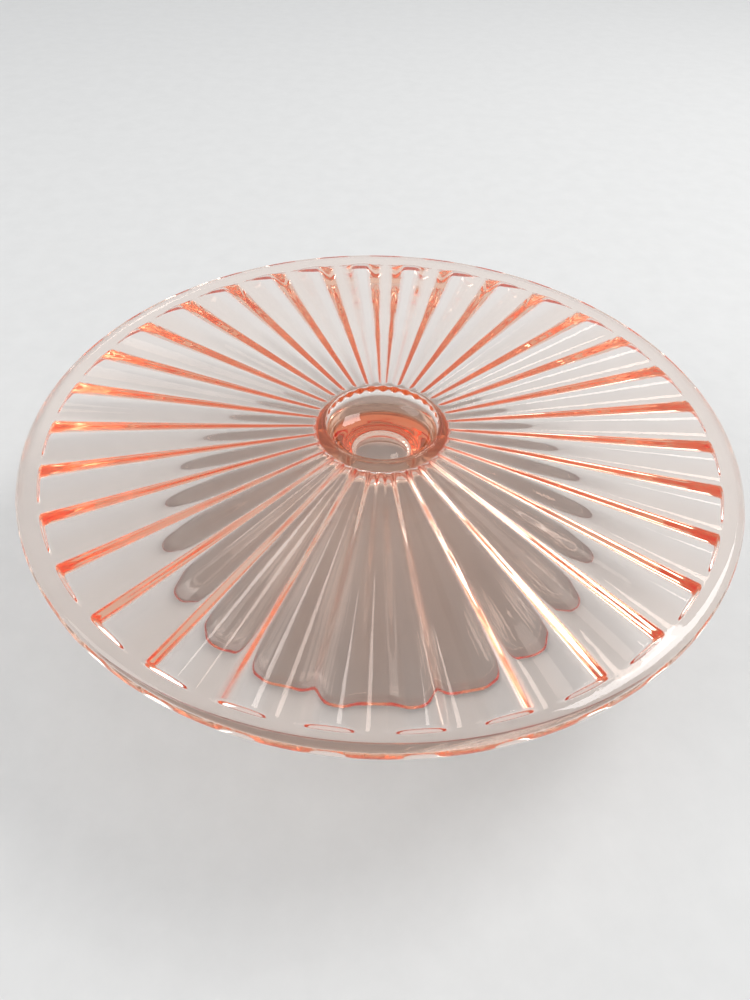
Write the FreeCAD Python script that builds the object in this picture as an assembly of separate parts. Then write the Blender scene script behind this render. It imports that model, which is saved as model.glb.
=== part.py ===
import FreeCAD, Part
import math
import os

os.makedirs("parts", exist_ok=True)

# Driving sizes, all in mm. The origin is the centre of the foot's resting plane.
PLATE_DIAMETER = 205.0
TOTAL_HEIGHT = 53.0
FOOT_DIAMETER = 132.0
RIB_COUNT = 32
DISC_THICKNESS = 2.8
RIM_WIDTH = 5.2
RIM_THICKNESS = 5.4
WELL_MOUTH_DIAMETER = 33.2
WELL_DEPTH = 8.0
WELL_FLOOR_GLASS = 4.5

# Everything below follows from the sizes above or is a small working choice.
PLATE_RADIUS = PLATE_DIAMETER / 2
RIM_INNER_RADIUS = PLATE_RADIUS - RIM_WIDTH
RIM_EDGE_ROUND = RIM_THICKNESS * 0.46

LIP_WIDTH = 2.2
LIP_HEIGHT = 0.5
LIP_INNER_RADIUS = WELL_MOUTH_DIAMETER / 2
LIP_OUTER_RADIUS = LIP_INNER_RADIUS + LIP_WIDTH
NECK_RADIUS = LIP_OUTER_RADIUS + 0.2
NECK_LENGTH = WELL_DEPTH + WELL_FLOOR_GLASS

PLATE_TOP = TOTAL_HEIGHT - LIP_HEIGHT
DISC_UNDERSIDE = PLATE_TOP - DISC_THICKNESS
NECK_BOTTOM = PLATE_TOP - NECK_LENGTH

RIB_PITCH_ANGLE = 360.0 / RIB_COUNT
RIB_OUTER_HEIGHT = RIM_THICKNESS - DISC_THICKNESS
RIB_REACH_OF_PITCH = 0.46
RIB_CREST_OF_PITCH = 0.03
RIB_EDGE_SHARE = 0.06
RIB_OUTLINE_STEPS = 8
RIB_OUTER_RADIUS = RIM_INNER_RADIUS * math.cos(math.radians(RIB_PITCH_ANGLE * RIB_REACH_OF_PITCH))

FOOT_RADIUS = FOOT_DIAMETER / 2
FOOT_RING_WIDTH = 5.0
FOOT_RING_HEIGHT = 2.6
FOOT_INNER_RADIUS = FOOT_RADIUS - FOOT_RING_WIDTH
HOLLOW_TOP_RADIUS = 10.0
HOLLOW_CROWN_RADIUS = 3.5
HOLLOW_CROWN_HEIGHT = 2.8


def spin(edges):
    """Turn a closed outline in the XZ plane into a solid about the Z axis."""
    outline = Part.Wire(Part.__sortEdges__(edges))
    face = Part.Face(outline)
    return face.revolve(FreeCAD.Vector(0, 0, 0), FreeCAD.Vector(0, 0, 1), 360)


def at(radius, height):
    return FreeCAD.Vector(radius, 0, height)


def path(points):
    """Straight edges through a list of points."""
    return [Part.makeLine(a, b) for a, b in zip(points[:-1], points[1:])]


def bend(a, middle, b):
    return Part.Arc(a, middle, b).toShape()


def smooth(points):
    curve = Part.BSplineCurve()
    curve.interpolate(points)
    return curve.toShape()


def save(name, shape):
    if not shape.isValid():
        raise RuntimeError(name + " is not a valid shape")
    shape.exportStep("parts/" + name + ".step")
    print(name, len(shape.Solids), "solid(s)", round(shape.Volume / 1000, 2), "cm3")


def make_disc():
    """Flat serving disc between the neck and the plain rim."""
    return spin(path([
        at(NECK_RADIUS, DISC_UNDERSIDE), at(RIM_INNER_RADIUS, DISC_UNDERSIDE),
        at(RIM_INNER_RADIUS, PLATE_TOP), at(NECK_RADIUS, PLATE_TOP),
        at(NECK_RADIUS, DISC_UNDERSIDE)]))


def make_rim():
    """Plain outer band with a rounded edge."""
    bottom = PLATE_TOP - RIM_THICKNESS
    side = PLATE_RADIUS - RIM_EDGE_ROUND
    lean = RIM_EDGE_ROUND * (1 - math.sqrt(0.5))
    low = [at(side, bottom), at(PLATE_RADIUS - lean, bottom + lean),
           at(PLATE_RADIUS, bottom + RIM_EDGE_ROUND)]
    high = [at(PLATE_RADIUS, PLATE_TOP - RIM_EDGE_ROUND),
            at(PLATE_RADIUS - lean, PLATE_TOP - lean), at(side, PLATE_TOP)]
    return spin([
        Part.makeLine(at(RIM_INNER_RADIUS, bottom), low[0]), bend(*low),
        Part.makeLine(low[2], high[0]), bend(*high),
        Part.makeLine(high[2], at(RIM_INNER_RADIUS, PLATE_TOP)),
        Part.makeLine(at(RIM_INNER_RADIUS, PLATE_TOP), at(RIM_INNER_RADIUS, bottom))])


def rib_outline(radius):
    """Closed section of one rib, square to its length, with its flat side up."""
    pitch = radius * math.radians(RIB_PITCH_ANGLE)
    reach = pitch * RIB_REACH_OF_PITCH
    crest = pitch * RIB_CREST_OF_PITCH
    height = RIB_OUTER_HEIGHT * radius / RIM_INNER_RADIUS
    edge = height * RIB_EDGE_SHARE
    side = []
    for step in range(RIB_OUTLINE_STEPS + 1):
        share = step / RIB_OUTLINE_STEPS
        across = crest + (reach - crest) * share
        drop = edge + (height - edge) * (1 + math.cos(math.pi * share)) / 2
        side.append((across, drop))
    half = [FreeCAD.Vector(radius, across, DISC_UNDERSIDE - drop) for across, drop in side]
    mirrored = [FreeCAD.Vector(point.x, -point.y, point.z) for point in reversed(half)]
    right_root = FreeCAD.Vector(radius, reach, DISC_UNDERSIDE)
    left_root = FreeCAD.Vector(radius, -reach, DISC_UNDERSIDE)
    return Part.Wire([
        smooth(mirrored), Part.makeLine(mirrored[-1], half[0]), smooth(half)]
        + path([half[-1], right_root, left_root, mirrored[0]]))


def make_ribs():
    """Softly rounded rays under the disc. They deepen and widen towards the rim."""
    rib = Part.makeLoft([rib_outline(NECK_RADIUS), rib_outline(RIB_OUTER_RADIUS)], True, True)
    ribs = []
    for number in range(RIB_COUNT):
        one = rib.copy()
        one.rotate(FreeCAD.Vector(0, 0, 0), FreeCAD.Vector(0, 0, 1), number * RIB_PITCH_ANGLE)
        ribs.append(one)
    return Part.makeCompound(ribs)


def make_lip():
    """Small rounded bead standing round the mouth of the well."""
    middle = (LIP_INNER_RADIUS + LIP_OUTER_RADIUS) / 2
    return spin([
        Part.makeLine(at(LIP_INNER_RADIUS, PLATE_TOP), at(LIP_OUTER_RADIUS, PLATE_TOP)),
        bend(at(LIP_OUTER_RADIUS, PLATE_TOP), at(middle, PLATE_TOP + LIP_HEIGHT),
             at(LIP_INNER_RADIUS, PLATE_TOP))])


def make_well():
    """Block of glass at the centre with the shallow bowl pressed into its top."""
    bowl_bottom = PLATE_TOP - WELL_DEPTH
    return spin([
        Part.makeLine(at(0, NECK_BOTTOM), at(NECK_RADIUS, NECK_BOTTOM)),
        Part.makeLine(at(NECK_RADIUS, NECK_BOTTOM), at(NECK_RADIUS, PLATE_TOP)),
        Part.makeLine(at(NECK_RADIUS, PLATE_TOP), at(LIP_INNER_RADIUS, PLATE_TOP)),
        smooth([at(LIP_INNER_RADIUS, PLATE_TOP),
                at(LIP_INNER_RADIUS * 0.93, PLATE_TOP - WELL_DEPTH * 0.5),
                at(LIP_INNER_RADIUS * 0.72, PLATE_TOP - WELL_DEPTH * 0.85),
                at(LIP_INNER_RADIUS * 0.35, bowl_bottom + WELL_DEPTH * 0.02),
                at(0, bowl_bottom)]),
        Part.makeLine(at(0, bowl_bottom), at(0, NECK_BOTTOM))])


def outer_flare():
    """Points down the outside of the pedestal, from the neck to the foot ring."""
    drop = NECK_BOTTOM - FOOT_RING_HEIGHT
    spread = FOOT_RADIUS - NECK_RADIUS
    shares = [(0, 0), (0.08, 0.16), (0.22, 0.36), (0.44, 0.60), (0.70, 0.80), (0.90, 0.94), (1, 1)]
    return [at(NECK_RADIUS + spread * out, NECK_BOTTOM - drop * down) for out, down in shares]


def inner_flare():
    """Points up the inside of the pedestal, from the foot ring to the crown of the hollow."""
    rise = NECK_BOTTOM - HOLLOW_CROWN_HEIGHT - FOOT_RING_HEIGHT
    spread = FOOT_INNER_RADIUS - HOLLOW_TOP_RADIUS
    shares = [(1, 0), (0.86, 0.09), (0.64, 0.25), (0.40, 0.45), (0.20, 0.66), (0.06, 0.86), (0, 1)]
    return [at(HOLLOW_TOP_RADIUS + spread * out, FOOT_RING_HEIGHT + rise * up) for out, up in shares]


def make_pedestal():
    """Hollow trumpet-shaped stem between the well block and the foot ring."""
    outside = outer_flare()
    inside = inner_flare()
    reach = (HOLLOW_TOP_RADIUS - HOLLOW_CROWN_RADIUS) * math.sqrt(0.5)
    crown = [inside[-1],
             at(HOLLOW_CROWN_RADIUS + reach, NECK_BOTTOM - HOLLOW_CROWN_HEIGHT * (1 - math.sqrt(0.5))),
             at(HOLLOW_CROWN_RADIUS, NECK_BOTTOM)]
    return spin([
        smooth(outside), Part.makeLine(outside[-1], inside[0]),
        smooth(inside), bend(*crown), Part.makeLine(crown[-1], outside[0])])


def make_foot_ring():
    """Rounded bottom edge that the plate rests on."""
    edge = FOOT_RING_HEIGHT * 0.5
    lean = edge * (1 - math.sqrt(0.5))
    return spin([
        Part.makeLine(at(FOOT_INNER_RADIUS, FOOT_RING_HEIGHT), at(FOOT_INNER_RADIUS, 0)),
        Part.makeLine(at(FOOT_INNER_RADIUS, 0), at(FOOT_RADIUS - edge, 0)),
        bend(at(FOOT_RADIUS - edge, 0), at(FOOT_RADIUS - lean, lean), at(FOOT_RADIUS, edge)),
        Part.makeLine(at(FOOT_RADIUS, edge), at(FOOT_RADIUS, FOOT_RING_HEIGHT)),
        Part.makeLine(at(FOOT_RADIUS, FOOT_RING_HEIGHT), at(FOOT_INNER_RADIUS, FOOT_RING_HEIGHT))])


save("plate_disc", make_disc())
save("rim_band", make_rim())
save("plate_ribs", make_ribs())
save("well_lip", make_lip())
save("well_block", make_well())
save("pedestal", make_pedestal())
save("foot_ring", make_foot_ring())
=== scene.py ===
import math

import bmesh
import bpy
import numpy as np
from mathutils import Euler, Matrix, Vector


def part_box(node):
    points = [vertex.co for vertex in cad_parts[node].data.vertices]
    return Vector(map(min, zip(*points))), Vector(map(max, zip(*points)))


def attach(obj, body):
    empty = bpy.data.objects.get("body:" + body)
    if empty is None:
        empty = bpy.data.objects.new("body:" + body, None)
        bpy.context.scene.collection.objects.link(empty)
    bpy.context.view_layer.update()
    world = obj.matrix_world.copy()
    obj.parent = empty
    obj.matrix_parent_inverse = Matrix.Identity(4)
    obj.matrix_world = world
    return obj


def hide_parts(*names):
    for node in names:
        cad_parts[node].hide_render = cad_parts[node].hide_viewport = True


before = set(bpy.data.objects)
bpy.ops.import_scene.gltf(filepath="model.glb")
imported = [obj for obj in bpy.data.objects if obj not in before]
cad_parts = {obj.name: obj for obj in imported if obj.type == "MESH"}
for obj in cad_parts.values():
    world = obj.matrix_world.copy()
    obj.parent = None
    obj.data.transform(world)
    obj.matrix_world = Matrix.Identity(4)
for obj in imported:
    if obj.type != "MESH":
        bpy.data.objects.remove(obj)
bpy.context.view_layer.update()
mm = 0.001
print("frame loaded", len(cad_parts), "nodes")


def boxOf(node):
    low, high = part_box(node)
    return [v / mm for v in low], [v / mm for v in high]  # working units are mm


discLow, discHigh = boxOf("plate_disc")
rimLow, rimHigh = boxOf("rim_band")
lipLow, lipHigh = boxOf("well_lip")
wellLow, wellHigh = boxOf("well_block")
footLow, footHigh = boxOf("foot_ring")

hair, inset = 0.02, 0.05  # how far the glass stays inside the solids
glass = {
    "plateTop": discHigh[2],
    "slab": discHigh[2] - discLow[2],  # glass left above the middle of a flute
    "rim": rimHigh[2] - rimLow[2] - hair,  # thickness of the outer band
    "plateRadius": min(rimHigh[0], rimHigh[1], -rimLow[0], -rimLow[1]) - inset,
    "edgeRound": 2.4,
    "edgeSteps": 9,
    "neckRadius": wellHigh[0],
    "neckFillet": 2.2,
    "filletSteps": 9,
    "lipInner": lipHigh[0] - 2.2,
    "lipOuter": lipHigh[0] - 1.0,  # a little slimmer than the solid
    "lipHeight": lipHigh[2] - discHigh[2] - hair,
    "lipSteps": 13,
    "footRadius": footHigh[0] - inset,
    "footWidth": 5.0,
    "footSteps": 12,
    "hollowTop": wellLow[2],
}
flutes = {
    "count": 32,
    "end": discHigh[0] - 0.1,  # where they stop short of the plain rim
    "endLength": 0.6,
    "steepShare": 0.86,  # share of the end wall's height that is straight
    "roundLength": 0.9,  # its rounded top, in end lengths
    "crestShare": 0.03,  # flat middle of a ray, as a share of the pitch
    "roofShare": 0.04,  # flat middle of a flute
    "halfColumns": 12,
    "endSteps": 20,  # rows are close together near the end wall
    "middleSteps": 14,
    "neckSteps": 7,
}
pitch = 2 * math.pi / flutes["count"]
halfTurns = np.linspace(0, pitch / 2, flutes["halfColumns"])  # from a ray's middle to a flute's


def splinePoints(points, count):
    p = np.array(points, float)
    size = len(p)
    knots = np.r_[0, np.cumsum(np.linalg.norm(np.diff(p, axis=0), axis=1))]
    gaps = np.diff(knots)
    system = np.eye(size)
    for i in range(1, size - 1):
        system[i, i - 1:i + 2] = gaps[i - 1], 2 * (gaps[i - 1] + gaps[i]), gaps[i]
    at = np.linspace(0, knots[-1], count)
    i = np.clip(np.searchsorted(knots, at, side="right") - 1, 0, size - 2)
    before, after = at - knots[i], knots[i + 1] - at
    columns = []
    for y in p.T:
        right = np.zeros(size)
        right[1:-1] = 6 * np.diff(np.diff(y) / gaps)
        bend = np.linalg.solve(system, right)  # second derivatives, free ends
        curve = (bend[i] * after ** 3 + bend[i + 1] * before ** 3) / (6 * gaps[i])
        curve += (y[i] / gaps[i] - bend[i] * gaps[i] / 6) * after
        curve += (y[i + 1] / gaps[i] - bend[i + 1] * gaps[i] / 6) * before
        columns.append(curve)
    return np.stack(columns, 1)


def rayDepth(radius):  # how far a ray hangs below the flutes' roof, across half a pitch
    height = (glass["rim"] - glass["slab"]) * radius / flutes["end"]
    run = 0.5 - flutes["crestShare"] - flutes["roofShare"]
    share = np.clip((halfTurns / pitch - flutes["crestShare"]) / run, 0, 1)
    return height * (1 + np.cos(math.pi * share)) / 2


rows = []


def addRow(radius, depth):  # depth is measured down from the plate's top
    depth = np.broadcast_to(depth, halfTurns.shape)
    turn = np.r_[-halfTurns[::-1], halfTurns[1:-1]]
    drop = np.r_[depth[::-1], depth[1:-1]]
    ring = []
    for number in range(flutes["count"]):
        a = -math.pi / 2 + pitch * number + turn  # a ray's middle lies on -Y
        ring.append(np.stack([radius * np.cos(a), radius * np.sin(a), glass["plateTop"] - drop], 1))
    rows.append(np.concatenate(ring))


def endFade(radius):  # 0 on the rim, 1 along the flute, with a rounded upper edge
    x = (flutes["end"] - radius) / flutes["endLength"]
    steep = flutes["steepShare"]
    if x <= 0:
        return 0.0
    if x < 1:
        return steep * x
    return steep + (1 - steep) * math.sin(math.pi / 2 * min((x - 1) / flutes["roundLength"], 1))


well = {
    "curve": [(0, 8.0), (5.0, 7.9), (10.0, 7.3), (14.0, 5.5), (15.9, 3.0), (16.6, 0)],
    "steps": 32,
}


def wellRows():
    for radius, depth in splinePoints(well["curve"], well["steps"])[1:-1]:
        addRow(radius, depth)


def lipRows():
    middle = (glass["lipInner"] + glass["lipOuter"]) / 2
    half = glass["lipOuter"] - middle
    for a in np.linspace(math.pi, 0, glass["lipSteps"]):
        addRow(middle + half * math.cos(a), -glass["lipHeight"] * math.sin(a))


def rimRows():
    r = glass["edgeRound"]
    middle = glass["plateRadius"] - r
    addRow(glass["lipOuter"] + 0.3, 0)
    addRow(middle - 0.6, 0)
    for a in np.linspace(math.pi / 2, 0, glass["edgeSteps"]):
        addRow(middle + r * math.cos(a), r - r * math.sin(a))
    for a in np.linspace(0, -math.pi / 2, glass["edgeSteps"]):
        addRow(middle + r * math.cos(a), glass["rim"] - r - r * math.sin(a))


def fluteRows():
    end = flutes["end"]
    inner = glass["neckRadius"] + glass["neckFillet"]
    wall, neck = end - 2.6, inner + 6  # rows are closer outside the first and inside the second
    addRow(end + 1.6, glass["rim"])
    radii = np.r_[np.linspace(end + 0.5, wall, flutes["endSteps"]),
                  np.linspace(wall, neck, flutes["middleSteps"])[1:],
                  np.linspace(neck, inner, flutes["neckSteps"])[1:]]
    for radius in radii:
        cut = glass["rim"] - glass["slab"] - rayDepth(radius)
        addRow(radius, glass["rim"] - cut * endFade(radius))


def neckRows():
    fillet = glass["neckFillet"]
    for a in np.linspace(0, math.pi / 2, glass["filletSteps"])[1:]:
        radius = glass["neckRadius"] + fillet * (1 - math.sin(a))
        addRow(radius, glass["slab"] + np.maximum(rayDepth(radius), fillet - fillet * math.cos(a)))


flare = {
    "curve": [(19.4, 12.5), (22.6, 18.5), (29.0, 26.0), (39.5, 35.0), (51.7, 42.4), (60.3, 46.9),
              (64.8, 49.3)],
    "steps": 52,
    "seamRadius": 24.3,  # faint ridge where the mould's two halves met
    "seamHeight": 0.6,
    "seamWidth": 0.35,
    "seamOut": 0.75,  # how much of the ridge points outward, and how much up
    "seamUp": 0.6,
}


def flareRows():
    start = [(glass["neckRadius"], glass["slab"] + glass["neckFillet"])]
    for radius, depth in splinePoints(start + flare["curve"], flare["steps"])[1:]:
        seam = flare["seamHeight"] * math.exp(-((radius - flare["seamRadius"]) / flare["seamWidth"]) ** 2)
        addRow(radius + seam * flare["seamOut"], depth - seam * flare["seamUp"])


def footRows():
    deepest = glass["plateTop"]
    half = (deepest - flare["curve"][-1][1]) / 2
    middle = glass["footRadius"] - half
    for a in np.linspace(math.pi * 0.375, -math.pi / 2, glass["footSteps"]):
        addRow(middle + half * math.cos(a), deepest - half - half * math.sin(a))
    inside = glass["footRadius"] - glass["footWidth"]
    addRow(inside + 1.2, deepest)
    addRow(inside + 0.45, deepest - 0.15)  # softened inner corner


hollow = {
    "curve": [(60.6, 51.7), (55.0, 49.3), (46.0, 45.4), (36.0, 39.8), (26.0, 32.8), (18.0, 25.8),
              (12.6, 19.4), (10.0, 15.3)],
    "steps": 42,
    "crownRadius": 10.0,
    "crownSteps": 14,
}


def hollowRows():
    for radius, depth in splinePoints(hollow["curve"], hollow["steps"]):
        addRow(radius, depth)
    deep = hollow["curve"][-1][1]
    top = glass["plateTop"] - glass["hollowTop"]
    for a in np.linspace(0, math.pi / 2, hollow["crownSteps"])[1:-1]:
        addRow(hollow["crownRadius"] * math.cos(a), deep - (deep - top) * math.sin(a))


def joinRows(name):
    columns = len(rows[0])
    wellMiddle = [0, 0, glass["plateTop"] - well["curve"][0][1]]
    points = np.concatenate(rows + [[wellMiddle], [[0, 0, glass["hollowTop"]]]]) * mm
    here = np.arange(columns)
    after = (here + 1) % columns
    faces = []
    for number in range(len(rows) - 1):
        first = number * columns
        second = first + columns
        faces += np.stack([first + here, second + here, second + after, first + after], 1).tolist()
    last = (len(rows) - 1) * columns
    faces += [[len(points) - 2, a, b] for a, b in zip(here, after)]
    faces += [[len(points) - 1, last + b, last + a] for a, b in zip(here, after)]
    mesh = bpy.data.meshes.new(name)
    mesh.from_pydata(points.tolist(), [], [[int(v) for v in f] for f in faces])
    work = bmesh.new()
    work.from_mesh(mesh)
    bmesh.ops.recalc_face_normals(work, faces=work.faces)
    openEdges = sum(1 for e in work.edges if not e.is_manifold)
    volume = work.calc_volume()
    work.to_mesh(mesh)
    work.free()
    mesh.polygons.foreach_set("use_smooth", [True] * len(mesh.polygons))
    mesh.update()
    print(name, len(mesh.polygons), "faces", openEdges, "open edges", round(volume * 1e6, 1), "cm3")
    return mesh


def putInScene(name, mesh, material):
    thing = bpy.data.objects.new(name, mesh)
    bpy.context.scene.collection.objects.link(thing)
    mesh.materials.append(material)
    return thing


class Wire:  # a socket that takes plain arithmetic
    def __init__(self, tree, socket):
        self.tree = tree
        self.socket = socket

    def node(self, kind, settings, sockets, out=0):
        made = self.tree.nodes.new(kind)
        for name, value in settings.items():
            setattr(made, name, value)
        for name, value in sockets.items():
            if isinstance(value, Wire):
                self.tree.links.new(value.socket, made.inputs[name])
            else:
                made.inputs[name].default_value = value
        return Wire(self.tree, made.outputs[out])

    def math(self, kind, a, b=0.0):
        return self.node("ShaderNodeMath", {"operation": kind}, {0: a, 1: b})

    def __add__(self, other):
        return self.math("ADD", self, other)

    def __radd__(self, other):
        return self.math("ADD", other, self)

    def __sub__(self, other):
        return self.math("SUBTRACT", self, other)

    def __rsub__(self, other):
        return self.math("SUBTRACT", other, self)

    def __mul__(self, other):
        return self.math("MULTIPLY", self, other)

    def __rmul__(self, other):
        return self.math("MULTIPLY", other, self)

    def noise(self, scale, detail=2.0, rough=0.5):
        return self.node("ShaderNodeTexNoise", {}, {"Vector": self, "Scale": scale, "Detail": detail,
                                                    "Roughness": rough})

    def span(self, low, high, outLow=0.0, outHigh=1.0):
        return self.node("ShaderNodeMapRange", {"clamp": True}, {
            "Value": self, "From Min": low, "From Max": high, "To Min": outLow, "To Max": outHigh})

    def mix(self, colorA, colorB):
        return self.node("ShaderNodeMix", {"data_type": "RGBA"}, {0: self, 6: colorA, 7: colorB}, 2)


def startMaterial(name):
    material = bpy.data.materials.new(name)
    material.use_nodes = True
    tree = material.node_tree
    shader = tree.nodes["Principled BSDF"]
    place = Wire(tree, tree.nodes.new("ShaderNodeTexCoord").outputs["Object"])
    return material, tree, shader, place


glassLook = {
    "ior": 1.52,
    "absorb": (0.96, 0.40, 0.04, 1),
    "density": 28.0,  # per metre
    "smudgeScale": 22.0,  # hand-wide smears
    "waveScale": 70.0,  # ripples about 14 mm long
    "waveHeight": 0.0004,
    "waveStrength": 0.35,
    "rippleScale": 420.0,
    "rippleShare": 0.03,
    "clear": (1, 1, 1, 1),
    "smeared": (0.985, 0.975, 0.97, 1),
    "smearRough": 0.012,
    "fineRough": 0.004,
}


def glassMaterial():
    material, tree, shader, place = startMaterial("pinkPressedGlass")
    clean = 1 - place.noise(glassLook["smudgeScale"], 4.0, 0.6).span(0.52, 0.72)
    fine = place.noise(glassLook["rippleScale"], 2.0)
    tint = clean.mix(glassLook["smeared"], glassLook["clear"])
    rough = glassLook["smearRough"] * (1 - clean) + glassLook["fineRough"] * fine
    wave = place.noise(glassLook["waveScale"], 1.0, 0.4) + fine * glassLook["rippleShare"]
    bump = place.node("ShaderNodeBump", {}, {"Strength": glassLook["waveStrength"],
                                             "Distance": glassLook["waveHeight"], "Height": wave})
    shader.inputs["Transmission Weight"].default_value = 1.0
    shader.inputs["IOR"].default_value = glassLook["ior"]
    tree.links.new(tint.socket, shader.inputs["Base Color"])
    tree.links.new(rough.socket, shader.inputs["Roughness"])
    tree.links.new(bump.socket, shader.inputs["Normal"])
    depth = place.node("ShaderNodeVolumeAbsorption", {},
                       {"Color": glassLook["absorb"], "Density": glassLook["density"]})
    tree.links.new(depth.socket, tree.nodes["Material Output"].inputs["Volume"])
    return material


def floorMaterial():
    material, tree, shader, place = startMaterial("paleFloor")
    grain = place.noise(floor["grainScale"], 4.0, 0.6)
    color = grain.span(0.3, 0.7).mix(floor["darker"], floor["lighter"])
    rough = floor["rough"] + (grain - 0.5) * 0.1
    tree.links.new(color.socket, shader.inputs["Base Color"])
    tree.links.new(rough.socket, shader.inputs["Roughness"])
    return material


wellRows()
lipRows()
rimRows()
fluteRows()
neckRows()
flareRows()
footRows()
hollowRows()
plate = putInScene("cakePlate", joinRows("cakePlate"), glassMaterial())
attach(plate, "root")
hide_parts("plate_disc", "rim_band", "plate_ribs", "well_lip", "well_block", "pedestal",
            "foot_ring")
print("glass body built")

floor = {
    "half": 3.0,
    "cells": 24,
    "height": -0.0003,  # a hair below the foot
    "grainScale": 90.0,
    "darker": (0.70, 0.695, 0.68, 1),
    "lighter": (0.73, 0.725, 0.71, 1),
    "rough": 0.6,
}


def buildFloor():
    side = np.linspace(-floor["half"], floor["half"], floor["cells"] + 1)
    points = [(x, y, floor["height"]) for y in side for x in side]
    step = floor["cells"] + 1
    faces = [(j * step + i, j * step + i + 1, (j + 1) * step + i + 1, (j + 1) * step + i)
             for j in range(floor["cells"]) for i in range(floor["cells"])]
    mesh = bpy.data.meshes.new("floor")
    mesh.from_pydata(points, [], faces)
    return putInScene("floor", mesh, floorMaterial())


buildFloor()

lamps = [
    {"name": "key", "place": (0.6, 0.3, 0.9), "watts": 5.0, "size": 0.5},
    {"name": "fill", "place": (-0.8, -0.3, 0.7), "watts": 2.5, "size": 0.6},
]


def addLamp(spec):
    light = bpy.data.lights.new(spec["name"], "AREA")
    light.energy = spec["watts"]
    light.size = spec["size"]
    lamp = bpy.data.objects.new(spec["name"], light)
    bpy.context.scene.collection.objects.link(lamp)
    lamp.location = spec["place"]
    lamp.rotation_euler = (-Vector(spec["place"])).to_track_quat("-Z", "Y").to_euler()


for spec in lamps:
    addLamp(spec)

sky = {"color": (0.95, 0.97, 1.0, 1), "strength": 0.75}
bounces = 64  # light is trapped for long in the rays

scene = bpy.context.scene
world = bpy.data.worlds.new("studio")
scene.world = world
world.use_nodes = True
background = world.node_tree.nodes["Background"]
background.inputs["Color"].default_value = sky["color"]
background.inputs["Strength"].default_value = sky["strength"]
print("light set")

camera = {
    "place": (-0.00164, -0.17113, 0.19421),
    "turn": (44.386, -1.255, 1.212),  # degrees
    "lens": 27.0,
}


def addCamera():
    data = bpy.data.cameras.new("camera")
    data.lens = camera["lens"]
    data.sensor_width = 36
    data.clip_start = 0.01
    data.dof.use_dof = False
    eye = bpy.data.objects.new("camera", data)
    scene.collection.objects.link(eye)
    eye.location = camera["place"]
    eye.rotation_euler = Euler([math.radians(v) for v in camera["turn"]])
    scene.camera = eye


addCamera()
scene.cycles.max_bounces = bounces
scene.cycles.transmission_bounces = bounces
scene.cycles.glossy_bounces = bounces
scene.view_settings.view_transform = "Standard"
print("camera set")
